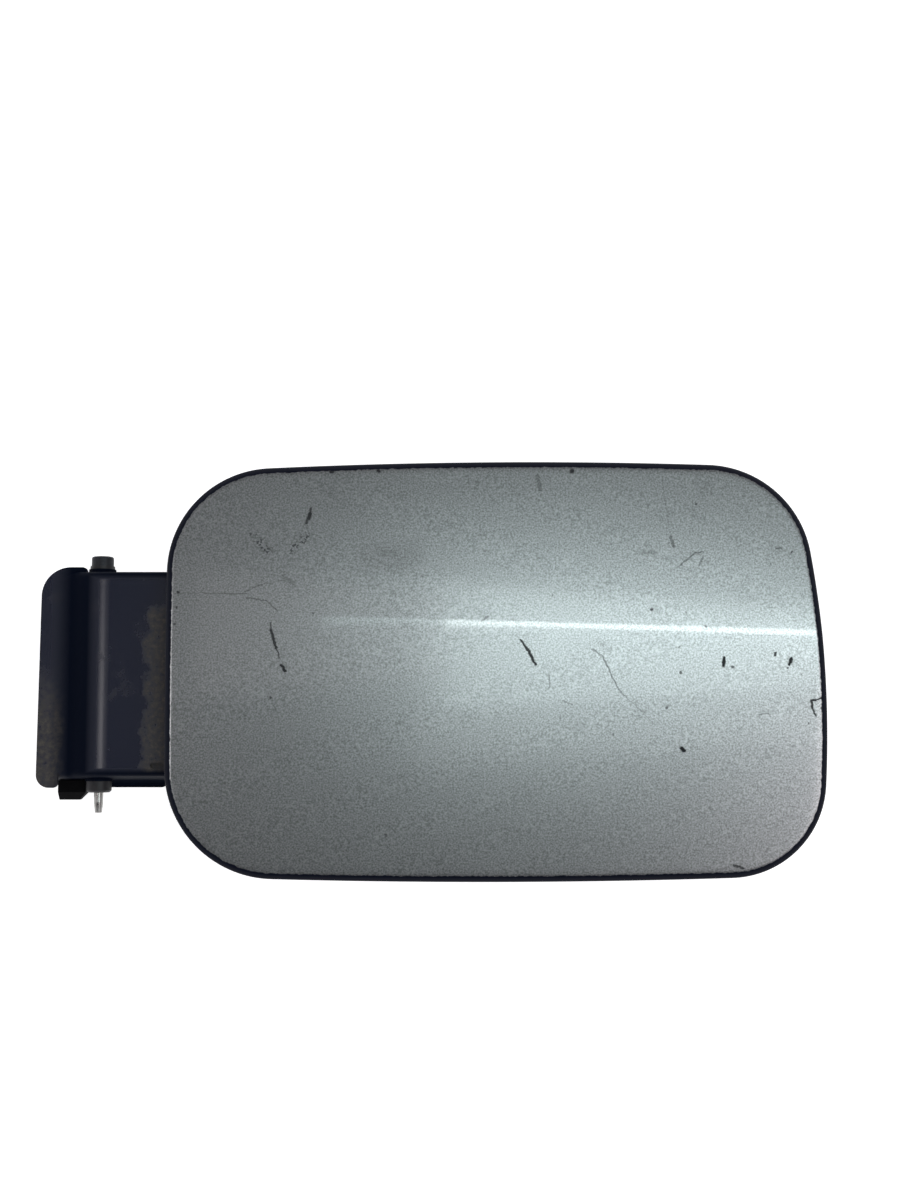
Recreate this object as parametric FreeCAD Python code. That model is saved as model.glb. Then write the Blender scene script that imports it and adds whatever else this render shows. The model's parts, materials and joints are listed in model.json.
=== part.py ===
import FreeCAD
import Part
import math
import os

from FreeCAD import Vector

# Fuel filler flap of a car: a pressed steel door with its hinge arm and hinge pin, lying on its back.
# Sizes are in millimetres. While building, X runs from the pin axis to the free edge, Y runs along the pin
# towards its head, and Z points out of the face, with zero at the top of the face.

# Panel outline, seen from outside with the hinge at the left
panel_length = 198.2
panel_height = 126.3
panel_rise = 0.7
hinge_reach = 23.1
free_edge_lean = 6.3
top_edge_rise = 2.2
top_bow = 2.6
bottom_bow = 2.0
hinge_bow = 0.4
free_bow = 5.6
top_hinge_corner = 31.8
top_free_corner = 31.7
bottom_free_corner = 29.1
bottom_hinge_corner = 33.0

# Form of the face: two wide curves that part from the hinge edge, so that the body crease between them
# grows sharper towards the free edge
crown_radius = 2000.0
crease_height = 15.0
crease_fall_deg = 1.9
crease_fold_deg = 4.0

# Outer skin and its hem
skin_sheet = 0.9
rim_round = 2.4
rim_depth = 3.2
rim_wall = 1.6
hem_width = 9.0

# Inner panel
inner_sheet = 0.8
hem_slack = 0.4
dish_margin = 11.5
dish_wall_run = 5.5
dish_corner = 22.0
dish_round = 3.0
bead_length = 86.0
bead_width = 11.0
bead_height = 2.2
bead_slope = 2.0
bead_start = 62.0
bead_offset = 27.0
drain_length = 12.0
drain_width = 5.0
drain_places = ((84.0, -38.0), (134.0, -38.0))

# Hinge arm
arm_depth = 9.0
arm_sheet = 1.5
barrel_radius = 16.5
barrel_offset = 4.5
barrel_turn_deg = 42.0
flare_radius = 6.2
flange_width_low = 7.7
flange_width_high = 6.9
flange_low = 3.2
flange_high = 1.5
flange_low_corner = 4.0
flange_high_corner = 9.0
flange_low_end = 1.0
flange_high_end = 7.0
wall_draft_deg = 6.0
arm_half_width = 31.0
arm_edge_radius = 2.0
channel_depth = 16.0
wall_past_barrel = 2.8
lip_round = 2.2
lip_width = 2.2
lip_end = 20.0
lip_end_round = 1.5
foot_length = 54.0
foot_taper_start = 17.0
foot_end_half_width = 17.0
foot_corner = 7.0
wall_run_out = 3.0
slot_length = 4.2
slot_width = 1.8
slot_from_panel = 3.4
slot_margin = 0.1
slot_depth = 0.8

# Hinge pin and bushes
pin_depth = 20.0
pin_radius = 1.75
pin_end_radius = 1.42
pin_end_straight = 3.0
pin_tip_radius = 1.12
pin_tip_length = 3.2
pin_tip_round = 0.25
head_radius = 3.4
head_length = 3.0
head_round = 0.6
running_gap = 0.05
seat_pad_radius = 4.2
seat_pad_thickness = 2.2
seat_pad_stand = 0.2
bush_radius = 2.7
bush_fit = 0.05
bush_inner_length = 4.0
upper_flange_radius = 3.8
upper_flange = 1.0
lower_collar_radius = 3.9
lower_collar = 3.5
lower_collar_chamfer = 0.6

# Torsion spring
spring_wire = 1.4
spring_coil_radius = 4.0
spring_pitch = 1.7
spring_turns = 5
spring_upper_leg = 19.0
spring_lower_leg = 14.0

# Screws and weld nuts of the arm's foot
screw_radius = 2.4
screw_hole_radius = 2.75
screw_flange_radius = 5.5
screw_flange = 1.2
screw_hex = 8.0
screw_hex_height = 3.4
nut_hex = 8.0
nut_height = 4.0
nut_bore_radius = 2.5
screw_end = 0.6
screw_places = ((27.0, 20.0), (27.0, -20.0), (44.0, 0.0))

# Lock eye at the free end
eye_sheet = 2.0
eye_width = 24.0
eye_tip_width = 17.0
eye_base = 26.0
eye_bend = 2.0
eye_from_free_edge = 24.0
eye_corner = 4.0
window_width = 9.0
window_height = 7.0
window_bar = 3.0
window_corner = 1.0
rivet_radius = 2.0
rivet_hole_radius = 2.1
rivet_head_radius = 4.0
rivet_head_height = 1.8
rivet_tail_radius = 3.2
rivet_tail_height = 2.0
rivet_spacing = 14.0
rivet_from_bend = 15.0

# Cap holder
holder_from_hinge_edge = 95.0
holder_length = 28.0
holder_width = 22.0
holder_base = 2.5
holder_corner = 3.0
fin_thickness = 2.4
fin_gap = 11.0
fin_height = 11.0
fin_length = 24.0
fin_round = 5.0
fin_nub = 0.8
barb_radius = 2.2
barb_hole_radius = 2.3
barb_head_radius = 3.0
barb_head = 2.6
barb_spacing = 16.0

# Rubber bumpers, stop buffer and mastic
bumper_radius = 5.5
bumper_height = 5.0
bumper_neck_radius = 2.6
bumper_hole_radius = 2.7
bumper_bulb_radius = 4.0
bumper_bulb = 3.5
bumper_from_free_edge = 33.0
bumper_from_long_edge = 27.0
buffer_length = 8.7
buffer_width = 6.0
buffer_height = 5.0
buffer_chamfer = 2.4
buffer_from_pin = 4.3
mastic_radius = 7.0
mastic_gap = 0.1
mastic_places = ((42.0, 34.0), (42.0, -33.0), (125.0, 12.0), (125.0, -12.0))

# Levels and places that follow from the sizes above
free_edge = hinge_reach + panel_length
pin_z = -pin_depth
seat_z = -arm_depth
plateau_top = seat_z + inner_sheet
lip_top = seat_z - channel_depth
lip_bottom = lip_top - arm_sheet
core_floor = lip_bottom - 2 * arm_sheet
barrel_turn = math.radians(barrel_turn_deg)
flare_reach = barrel_radius + flare_radius
flange_root = barrel_offset - flare_reach * math.sin(barrel_turn)
flange_top = seat_z - flare_reach + flare_reach * math.cos(barrel_turn)
flange_bottom = flange_top - arm_sheet
flange_left = flange_root - flange_width_low
wall_left = flange_root - wall_past_barrel
draft = math.tan(math.radians(wall_draft_deg))
lip_half_width = arm_half_width + channel_depth * draft
flange_half_width = arm_half_width + (seat_z - flange_top) * draft
pad_face = arm_half_width + (pin_depth - arm_depth + seat_pad_radius) * draft + seat_pad_stand
foot_end = hinge_reach + foot_length
clear = 200.0


def bowed_side(start, end, bow):
    """Circle through start and end that bulges by bow to the right of their direction."""
    along = end - start
    outward = Vector(along.y, -along.x, 0)
    outward.normalize()
    return Part.Arc(start, (start + end) * 0.5 + outward * bow, end).toShape().Curve


def nearest_edges(shape, point, count=1):
    """The edges of a shape whose middles lie nearest to a point."""
    return sorted(shape.Edges, key=lambda edge: edge.CenterOfMass.distanceToPoint(point))[:count]


def touching(first, first_radius, second, second_radius, near):
    """Point that two circles share, the one nearest to a place."""
    up = Vector(0, 0, 1)
    meets = Part.Circle(first, up, first_radius).intersect(Part.Circle(second, up, second_radius))
    points = [Vector(meet.X, meet.Y, meet.Z) for meet in meets]
    return min(points, key=lambda point: point.distanceToPoint(near))


def towards(start, end, reach):
    """Point at a distance from start, in the direction of end."""
    way = end - start
    way.normalize()
    return start + way * reach


def inset_wire(inset, z=0.0):
    """Rounded outline of the panel, drawn in by an inset, at a level: bowed sides and round corners."""
    low = panel_rise - panel_height / 2 + bottom_bow
    high = panel_rise + panel_height / 2 - top_bow
    left = hinge_reach + hinge_bow
    right = hinge_reach + panel_length - free_bow
    sharp = [
        Vector(left, low, 0),
        Vector(right + free_edge_lean / 2, low, 0),
        Vector(right - free_edge_lean / 2, high + top_edge_rise / 2, 0),
        Vector(left, high - top_edge_rise / 2, 0),
    ]
    bows = (bottom_bow, free_bow, top_bow, hinge_bow)
    radii = (bottom_hinge_corner, bottom_free_corner, top_free_corner, top_hinge_corner)
    sides = [bowed_side(sharp[index], sharp[(index + 1) % 4], bow) for index, bow in enumerate(bows)]
    centres = []
    for index, radius in enumerate(radii):
        before = sides[index - 1]
        after = sides[index]
        before_reach = before.Radius - radius
        after_reach = after.Radius - radius
        centres.append(touching(before.Center, before_reach, after.Center, after_reach, sharp[index]))
    edges = []
    for index, side in enumerate(sides):
        centre = centres[index]
        reach = radii[index] - inset
        before = sides[index - 1]
        corner_start = towards(before.Center, centre, before.Radius - inset)
        corner_end = towards(side.Center, centre, side.Radius - inset)
        corner_middle = towards(centre, (corner_start + corner_end) * 0.5, reach)
        edges.append(Part.Arc(corner_start, corner_middle, corner_end).toShape())
        side_end = towards(side.Center, centres[(index + 1) % 4], side.Radius - inset)
        side_middle = towards(side.Center, (corner_end + side_end) * 0.5, side.Radius - inset)
        edges.append(Part.Arc(corner_end, side_middle, side_end).toShape())
    wire = Part.Wire(edges)
    wire.translate(Vector(0, 0, z))
    return wire


def panel_prism(inset):
    """Upright prism on the inset outline, far taller than the part."""
    return Part.Face(inset_wire(inset, clear)).extrude(Vector(0, 0, -2 * clear))


def make_face_block():
    """Deep block under the face: what two wide cylinders share, whose axes part from the hinge edge."""
    fold = math.radians(crease_fold_deg)
    splay_deg = math.degrees(math.atan(fold * crown_radius / (2 * panel_length)))
    root_y = crease_height + math.tan(math.radians(crease_fall_deg)) * panel_length / 2
    root = Vector(hinge_reach, root_y, -crown_radius)
    block = None
    for side in (1, -1):
        angle = math.radians(side * splay_deg - crease_fall_deg)
        along = Vector(math.cos(angle), math.sin(angle), 0)
        roll = Part.makeCylinder(crown_radius, 4 * clear, root - along * 2 * clear, along)
        block = roll if block is None else block.common(roll)
    return block


def under_face(depth):
    """The block under the face, lowered by a depth."""
    block = face_block.copy()
    block.translate(Vector(0, 0, -depth))
    return block


def face_layer(top_depth, bottom_depth, inset):
    """Layer of the panel between two depths under the face, within the inset outline."""
    return panel_prism(inset).common(under_face(top_depth)).cut(under_face(bottom_depth))


def rim_edges(shape):
    """Edges round the top of a panel layer, without the crease across it."""
    faces = sorted(shape.Faces, key=lambda face: -face.CenterOfMass.z)[:2]
    shared = [edge for edge in faces[0].Edges if any(edge.isSame(other) for other in faces[1].Edges)]
    around = faces[0].Edges + faces[1].Edges
    return [edge for edge in around if not any(edge.isSame(crease) for crease in shared)]


def top_edges(shape):
    """Edges round the highest face of a shape."""
    return max(shape.Faces, key=lambda face: face.CenterOfMass.z).Edges


def bottom_edges(shape):
    """Edges round the lowest face of a shape."""
    return min(shape.Faces, key=lambda face: face.CenterOfMass.z).Edges


def make_outer_skin():
    blank = face_layer(0, rim_depth, 0)
    blank = blank.makeFillet(rim_round, rim_edges(blank))
    pocket = face_layer(skin_sheet, rim_depth - skin_sheet, rim_wall)
    mouth = face_layer(rim_depth / 2, 2 * rim_depth, hem_width)
    return blank.cut(pocket).cut(mouth)


def stadium(length, width, x, y, z):
    """Round-ended slot outline centred at a place, along X."""
    radius = width / 2
    run = length / 2 - radius
    low = Part.LineSegment(Vector(x - run, y - radius, z), Vector(x + run, y - radius, z))
    right = Part.Arc(Vector(x + run, y - radius, z), Vector(x + run + radius, y, z),
                     Vector(x + run, y + radius, z))
    high = Part.LineSegment(Vector(x + run, y + radius, z), Vector(x - run, y + radius, z))
    left = Part.Arc(Vector(x - run, y + radius, z), Vector(x - run - radius, y, z),
                    Vector(x - run, y - radius, z))
    return Part.Wire([side.toShape() for side in (low, right, high, left)])


def bead(x, y, grow, z):
    """Drafted body of a stiffening bead, standing on a level."""
    foot = stadium(bead_length + 2 * grow, bead_width + 2 * grow, x, y, z)
    crest = stadium(bead_length + 2 * grow - 2 * bead_slope, bead_width + 2 * grow - 2 * bead_slope, x, y,
                    z + bead_height)
    return Part.makeLoft([foot, crest], True, True)


def upright(radius, place, low, high):
    """Cylinder along Z through a place, between two levels."""
    return Part.makeCylinder(radius, high - low, Vector(place[0], place[1], low))


def dish_ring(inset, z):
    """Outline of the dish at a level: straight sides with round corners, drawn in by an inset."""
    radius = dish_corner - inset
    near = dish_corner - radius * math.sin(math.radians(45))
    x_sides = (hinge_reach + dish_margin, free_edge - dish_margin)
    y_sides = (panel_rise - panel_height / 2 + dish_margin, panel_rise + panel_height / 2 - dish_margin)
    edges = []
    previous = None
    for x_end, y_end in ((0, 0), (1, 0), (1, 1), (0, 1), (0, 0)):
        x_in = 1 - 2 * x_end
        y_in = 1 - 2 * y_end
        on_x_side = Vector(x_sides[x_end] + x_in * inset, y_sides[y_end] + y_in * dish_corner, z)
        on_y_side = Vector(x_sides[x_end] + x_in * dish_corner, y_sides[y_end] + y_in * inset, z)
        middle = Vector(x_sides[x_end] + x_in * near, y_sides[y_end] + y_in * near, z)
        start, end = (on_x_side, on_y_side) if x_end == y_end else (on_y_side, on_x_side)
        if previous is not None:
            edges.append(Part.makeLine(previous, start))
        if len(edges) < 8:
            edges.append(Part.Arc(start, middle, end).toShape())
        previous = end
    return Part.Wire(edges)


def dish(inset, floor):
    """Tapered body of the inner panel's dish, with its lower edge rounded."""
    body = Part.makeLoft([dish_ring(inset, 0.0), dish_ring(inset + dish_wall_run, floor)], True, True)
    return body.makeFillet(dish_round - inset, bottom_edges(body))


def make_inner_panel():
    flange_bottom = rim_depth - skin_sheet
    flange_top = flange_bottom - inner_sheet
    flange = face_layer(flange_top, flange_bottom, rim_wall + hem_slack)
    tub = dish(0, seat_z).common(under_face(flange_top))
    panel = flange.fuse(tub).cut(dish(inner_sheet, plateau_top))
    for side in (1, -1):
        middle = hinge_reach + bead_start + bead_length / 2
        panel = panel.fuse(bead(middle, side * bead_offset, inner_sheet, plateau_top))
        panel = panel.cut(bead(middle, side * bead_offset, 0, seat_z))
    holes = [upright(screw_hole_radius, place, seat_z - 1, clear) for place in foot_screws]
    holes += [upright(rivet_hole_radius, place, seat_z - 1, clear) for place in eye_rivets]
    holes += [upright(barb_hole_radius, place, seat_z - 1, clear) for place in holder_barbs]
    holes += [upright(bumper_hole_radius, place, seat_z - 1, clear) for place in bumpers]
    for x, y in drain_places:
        slot = Part.Face(stadium(drain_length, drain_width, hinge_reach + x, y, seat_z - 1))
        holes.append(slot.extrude(Vector(0, 0, clear)))
    return panel.cut(holes).removeSplitter()


def arm_core(inset):
    """Body of the arm, drawn in by a sheet thickness: flat top, barrel, flared front and drafted walls."""
    radius = barrel_radius - inset
    flare = flare_radius + inset
    top = seat_z - inset
    lean = Vector(-math.sin(barrel_turn), 0, math.cos(barrel_turn))
    half_lean = Vector(-math.sin(barrel_turn / 2), 0, math.cos(barrel_turn / 2))
    centre = Vector(barrel_offset, -clear, seat_z - barrel_radius)
    flare_centre = centre + lean * flare_reach
    crest = centre + Vector(0, 0, radius)
    shoulder = centre + lean * radius
    root = flare_centre - Vector(0, 0, flare)
    front = Vector(-clear, -clear, root.z)
    toe = Vector(-clear, -clear, core_floor)
    heel = Vector(foot_end, -clear, core_floor)
    tip = Vector(foot_end, -clear, top)
    section = [
        Part.makeLine(tip, crest),
        Part.Arc(crest, centre + half_lean * radius, shoulder).toShape(),
        Part.Arc(shoulder, flare_centre - half_lean * flare, root).toShape(),
        Part.makeLine(root, front),
        Part.makeLine(front, toe),
        Part.makeLine(toe, heel),
        Part.makeLine(heel, tip),
    ]
    block = Part.Face(Part.Wire(section)).extrude(Vector(0, 2 * clear, 0))
    half_top = arm_half_width + inset * draft - inset / math.cos(math.radians(wall_draft_deg))
    half_peak = half_top - arm_depth * draft
    half_floor = half_top + (top - core_floor) * draft
    peak = top + arm_depth
    corners = [(-half_peak, peak), (half_peak, peak), (half_floor, core_floor), (-half_floor, core_floor)]
    ring = [Vector(-clear, y, z) for y, z in corners]
    wedge = Part.Face(Part.makePolygon(ring + ring[:1])).extrude(Vector(2 * clear, 0, 0))
    core = block.common(wedge)
    rounded = []
    for edge in core.Edges:
        ends = [vertex.Point for vertex in edge.Vertexes]
        outer = all(abs(point.y) > half_top - 0.01 for point in ends)
        same_side = all(point.y * ends[0].y > 0 for point in ends)
        on_floor = all(abs(point.z - core_floor) < 0.01 for point in ends)
        on_end = all(abs(point.x - ends[0].x) < 0.01 for point in ends)
        if outer and same_side and not on_floor and not on_end:
            rounded.append(edge)
    return core.makeFillet(arm_edge_radius - inset, rounded)


def plan_prism(corners, rounds, low, high):
    """Upright prism on a plan, with some of its corners rounded."""
    ring = [Vector(x, y, low) for x, y in corners]
    prism = Part.Face(Part.makePolygon(ring + ring[:1])).extrude(Vector(0, 0, high - low))
    half_up = Vector(0, 0, (high - low) / 2)
    for index, radius in rounds:
        prism = prism.makeFillet(radius, nearest_edges(prism, ring[index] + half_up))
    return prism


def lip_blank():
    """Plan of the outward lip at the foot of the arm's lower wall, as a low prism."""
    outer = -(lip_half_width + lip_width)
    corners = [(lip_end, outer), (wall_left, outer), (wall_left, 0), (lip_end, 0)]
    rounds = ((0, lip_end_round), (1, lip_end_round))
    return plan_prism(corners, rounds, lip_bottom, lip_top + 2 * lip_round)


def front_flange():
    """Flat flange in front of the barrel, standing out past both walls, with its outer corners rounded."""
    low = -(flange_half_width + flange_low)
    high = flange_half_width + flange_high
    low_end = flange_root - flange_low_end
    high_end = flange_root + flange_high_end
    corners = [(low_end, low), (flange_left, low), (flange_root - flange_width_high, high), (high_end, high),
               (high_end, 0), (low_end, 0)]
    rounds = ((0, lip_end_round), (1, flange_low_corner), (2, flange_high_corner), (3, lip_end_round))
    return plan_prism(corners, rounds, flange_bottom, flange_top)


def flared_core():
    """Body of the arm standing on a wide plate, with the corner between them rounded."""
    plate = Part.makeBox(clear + foot_end, 2 * clear, arm_sheet, Vector(-clear, -clear, lip_bottom))
    body = arm_core(0).fuse(plate).removeSplitter()
    corner = []
    for edge in body.Edges:
        level = all(abs(vertex.Z - lip_top) < 0.01 for vertex in edge.Vertexes)
        if level and edge.BoundBox.YMax < clear - 1 and edge.BoundBox.YMin > 1 - clear:
            if edge.BoundBox.XMin < foot_end - 1:
                corner.append(edge)
    return body.makeFillet(lip_round, corner)


def across(radius, start, length):
    """Cylinder on the pin axis, from one place along Y."""
    direction = Vector(0, math.copysign(1, length), 0)
    return Part.makeCylinder(radius, abs(length), Vector(0, start, pin_z), direction)


def side_plate(corners):
    """Plate over the full width of the arm, from its corners seen from the side."""
    ring = [Vector(x, -clear, z) for x, z in corners]
    return Part.Face(Part.makePolygon(ring + ring[:1])).extrude(Vector(0, 2 * clear, 0))


def foot_blank():
    """Spade foot seen from above: it narrows towards its rounded end."""
    start = hinge_reach + foot_taper_start
    corners = [(start - clear, -clear), (start, -clear), (start, -arm_half_width),
               (foot_end, -foot_end_half_width), (foot_end, foot_end_half_width),
               (start, arm_half_width), (start, clear), (start - clear, clear)]
    ring = [Vector(x, y, -clear) for x, y in corners]
    blank = Part.Face(Part.makePolygon(ring + ring[:1])).extrude(Vector(0, 0, 2 * clear))
    ends = nearest_edges(blank, Vector(foot_end, -foot_end_half_width, 0))
    ends += nearest_edges(blank, Vector(foot_end, foot_end_half_width, 0))
    return blank.makeFillet(foot_corner, ends)


def make_hinge_arm():
    channel = arm_core(arm_sheet)
    hood = side_plate([(wall_left, lip_bottom), (clear, lip_bottom), (clear, clear), (wall_left, clear)])
    lip = flared_core().common(lip_blank())
    arm = arm_core(0).common(hood).fuse([lip, front_flange()]).cut(channel).removeSplitter()
    run_out_start = lip_end + wall_run_out
    run_out_end = hinge_reach + foot_taper_start
    plate_bottom = seat_z - arm_sheet
    arm = arm.cut(side_plate([(run_out_start, lip_bottom - 1), (run_out_end, plate_bottom),
                              (clear, plate_bottom), (clear, lip_bottom - 1)]))
    arm = arm.common(foot_blank())
    for side in (1, -1):
        arm = arm.fuse(across(seat_pad_radius, side * (pad_face - seat_pad_thickness),
                              side * seat_pad_thickness))
    arm = arm.cut(across(bush_radius + bush_fit, -clear, 2 * clear))
    arm = arm.cut([upright(screw_hole_radius, place, -clear, clear) for place in foot_screws])
    slot_x = hinge_reach - slot_from_panel
    slot_y = -(arm_half_width - arm_edge_radius - slot_width / 2 - slot_margin)
    slot = Part.Face(stadium(slot_length, slot_width, slot_x, slot_y, seat_z - slot_depth))
    arm = arm.cut(slot.extrude(Vector(0, 0, clear)))
    return arm.removeSplitter()


def make_hinge_pin():
    head_seat = pad_face + upper_flange + running_gap
    end_start = -(pad_face + lower_collar + running_gap)
    tip_start = end_start - pin_end_straight
    head = across(head_radius, head_seat, head_length)
    head = head.makeFillet(head_round, nearest_edges(head, Vector(0, head_seat + head_length, pin_z)))
    shank = across(pin_radius, head_seat, end_start - head_seat)
    end = across(pin_end_radius, end_start, -pin_end_straight)
    tip = Part.makeCone(pin_end_radius, pin_tip_radius, pin_tip_length, Vector(0, tip_start, pin_z),
                        Vector(0, -1, 0))
    tip = tip.makeFillet(pin_tip_round, nearest_edges(tip, Vector(0, tip_start - pin_tip_length, pin_z)))
    return head.fuse([shank, end, tip]).removeSplitter()


def make_upper_bush():
    sleeve = across(bush_radius, pad_face, -bush_inner_length)
    flange = across(upper_flange_radius, pad_face, upper_flange)
    return sleeve.fuse(flange).cut(across(pin_radius + running_gap, -clear, 2 * clear))


def make_lower_bush():
    sleeve = across(bush_radius, -pad_face, bush_inner_length)
    collar = across(lower_collar_radius, -pad_face, -lower_collar)
    outer_rim = nearest_edges(collar, Vector(0, -pad_face - lower_collar, pin_z))
    collar = collar.makeChamfer(lower_collar_chamfer, outer_rim)
    return sleeve.fuse(collar).cut(across(pin_radius + running_gap, -clear, 2 * clear))


def make_torsion_spring():
    """Coil round the pin with two tangent legs: one under the arm's top, one towards the housing."""
    wire_radius = spring_wire / 2
    leg_level = seat_z - arm_sheet - wire_radius - running_gap
    rise = leg_level - pin_z
    reach = math.hypot(spring_upper_leg, rise)
    start_deg = math.degrees(math.atan2(rise, spring_upper_leg) + math.acos(spring_coil_radius / reach))
    turn_deg = 270 - start_deg + 360 * spring_turns
    coil_length = spring_pitch * turn_deg / 360
    coil = Part.makeHelix(spring_pitch, coil_length, spring_coil_radius)
    coil.rotate(Vector(0, 0, 0), Vector(1, 0, 0), 90)
    coil.rotate(Vector(0, 0, 0), Vector(0, -1, 0), start_deg)
    coil.translate(Vector(0, coil_length / 2, pin_z))
    lead = -spring_pitch / (2 * math.pi)

    def on_coil(degrees, y):
        angle = math.radians(degrees)
        point = Vector(spring_coil_radius * math.cos(angle), y, pin_z + spring_coil_radius * math.sin(angle))
        along = Vector(-spring_coil_radius * math.sin(angle), lead, spring_coil_radius * math.cos(angle))
        along.normalize()
        return point, along

    start, start_way = on_coil(start_deg, coil_length / 2)
    end, end_way = on_coil(270, -coil_length / 2)
    upper_run = math.sqrt(reach ** 2 - spring_coil_radius ** 2)
    upper_tip = start - start_way * upper_run
    upper_leg = Part.makeLine(upper_tip, start)
    lower_leg = Part.makeLine(end, end + end_way * spring_lower_leg)
    path = Part.Wire([upper_leg, *coil.Edges, lower_leg])
    section = Part.Wire(Part.makeCircle(wire_radius, upper_tip, start_way))
    return path.makePipeShell([section], True, True)


def hexagon(width, place, low, high):
    """Upright hexagonal prism, measured across its flats."""
    radius = width / 2 / math.cos(math.pi / 6)
    ring = []
    for step in range(7):
        angle = step * math.pi / 3
        ring.append(Vector(place[0] + radius * math.cos(angle), place[1] + radius * math.sin(angle), low))
    return Part.Face(Part.makePolygon(ring)).extrude(Vector(0, 0, high - low))


def make_arm_screws():
    screws = []
    under = seat_z - arm_sheet
    for place in foot_screws:
        flange = upright(screw_flange_radius, place, under - screw_flange, under)
        head = hexagon(screw_hex, place, under - screw_flange - screw_hex_height, under - screw_flange)
        shank = upright(screw_radius, place, under, plateau_top + nut_height + screw_end)
        screws.append(flange.fuse([head, shank]).removeSplitter())
    return Part.makeCompound(screws)


def make_weld_nuts():
    nuts = []
    for place in foot_screws:
        nut = hexagon(nut_hex, place, plateau_top, plateau_top + nut_height)
        nuts.append(nut.cut(upright(nut_bore_radius, place, -clear, clear)))
    return Part.makeCompound(nuts)


def make_lock_eye():
    """Folded bracket: a base on the inner panel and a tab with the latch window."""
    back = eye_x - eye_sheet
    end = eye_x - eye_base
    under = seat_z - eye_sheet
    outer = eye_bend + eye_sheet
    lean = math.sin(math.radians(45))
    fold = Vector(eye_x - outer, 0, seat_z - outer)
    section = [
        Part.makeLine(Vector(end, 0, seat_z), Vector(fold.x, 0, seat_z)),
        Part.Arc(Vector(fold.x, 0, seat_z), fold + Vector(outer * lean, 0, outer * lean),
                 Vector(eye_x, 0, fold.z)).toShape(),
        Part.makeLine(Vector(eye_x, 0, fold.z), Vector(eye_x, 0, lip_bottom)),
        Part.makeLine(Vector(eye_x, 0, lip_bottom), Vector(back, 0, lip_bottom)),
        Part.makeLine(Vector(back, 0, lip_bottom), Vector(back, 0, fold.z)),
        Part.Arc(Vector(back, 0, fold.z), fold + Vector(eye_bend * lean, 0, eye_bend * lean),
                 Vector(fold.x, 0, under)).toShape(),
        Part.makeLine(Vector(fold.x, 0, under), Vector(end, 0, under)),
        Part.makeLine(Vector(end, 0, under), Vector(end, 0, seat_z)),
    ]
    eye = Part.Face(Part.Wire(section)).extrude(Vector(0, eye_width, 0))
    eye.translate(Vector(0, -eye_width / 2, 0))
    half = eye_width / 2
    half_tip = eye_tip_width / 2
    corners = [(-half, 0), (half, 0), (half, fold.z),
               (half_tip, lip_bottom), (-half_tip, lip_bottom), (-half, fold.z)]
    ring = [Vector(end, y, z) for y, z in corners]
    front = Part.Face(Part.makePolygon(ring + ring[:1])).extrude(Vector(eye_base, 0, 0))
    half_base = Vector(eye_base / 2, 0, 0)
    front = front.makeFillet(eye_corner, nearest_edges(front, ring[3] + half_base))
    front = front.makeFillet(eye_corner, nearest_edges(front, ring[4] + half_base))
    eye = eye.common(front)
    for side in (1, -1):
        eye = eye.makeFillet(eye_corner, nearest_edges(eye, Vector(end, side * half, seat_z - eye_sheet / 2)))
    window = Part.makeBox(3 * eye_sheet, window_width, window_height,
                          Vector(back - eye_sheet, -window_width / 2, lip_bottom + window_bar))
    window_edges = [edge for edge in window.Edges if edge.BoundBox.XLength > eye_sheet]
    window = window.makeFillet(window_corner, window_edges)
    return eye.cut(window).cut([upright(rivet_hole_radius, place, -clear, clear) for place in eye_rivets])


def turned(profile, place):
    """Solid of revolution about an upright axis, from radius and height pairs."""
    ring = [Vector(place[0] + radius, place[1], z) for radius, z in profile]
    face = Part.Face(Part.makePolygon(ring + ring[:1]))
    return face.revolve(Vector(place[0], place[1], 0), Vector(0, 0, 1), 360)


def make_lock_eye_rivets():
    rivets = []
    under = seat_z - eye_sheet
    for place in eye_rivets:
        shank = upright(rivet_radius, place, under, plateau_top)
        head = upright(rivet_head_radius, place, under - rivet_head_height, under)
        head = head.makeFillet(rivet_head_height * 0.8, bottom_edges(head))
        tail = upright(rivet_tail_radius, place, plateau_top, plateau_top + rivet_tail_height)
        tail = tail.makeFillet(rivet_tail_height * 0.5, top_edges(tail))
        rivets.append(shank.fuse([head, tail]).removeSplitter())
    return Part.makeCompound(rivets)


def make_cap_holder():
    """Moulded clip: a base with two fins that grip the cap's handle, and two push-in barbs."""
    low = seat_z - holder_base
    base = Part.makeBox(holder_length, holder_width, holder_base,
                        Vector(holder_x - holder_length / 2, -holder_width / 2, low))
    upright_edges = [edge for edge in base.Edges if edge.BoundBox.ZLength > holder_base / 2]
    holder = base.makeFillet(holder_corner, upright_edges)
    for side in (1, -1):
        inner = side * fin_gap / 2
        thickness = side * fin_thickness
        fin = Part.makeBox(fin_length, fin_thickness, fin_height,
                           Vector(holder_x - fin_length / 2, min(inner, inner + thickness), low - fin_height))
        tips = [edge for edge in bottom_edges(fin) if edge.BoundBox.YLength > fin_thickness / 2]
        fin = fin.makeFillet(fin_round, tips)
        nub_line = Vector(holder_x - fin_length / 2 + fin_round, inner, low - fin_height + 2 * fin_nub)
        nub = Part.makeCylinder(fin_nub, fin_length - 2 * fin_round, nub_line, Vector(1, 0, 0))
        holder = holder.fuse([fin, nub])
    for place in holder_barbs:
        shank = upright(barb_radius, place, seat_z, plateau_top)
        barb = turned([(0, plateau_top), (barb_head_radius, plateau_top),
                       (barb_radius / 2, plateau_top + barb_head), (0, plateau_top + barb_head)], place)
        holder = holder.fuse([shank, barb])
    return holder.removeSplitter()


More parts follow.
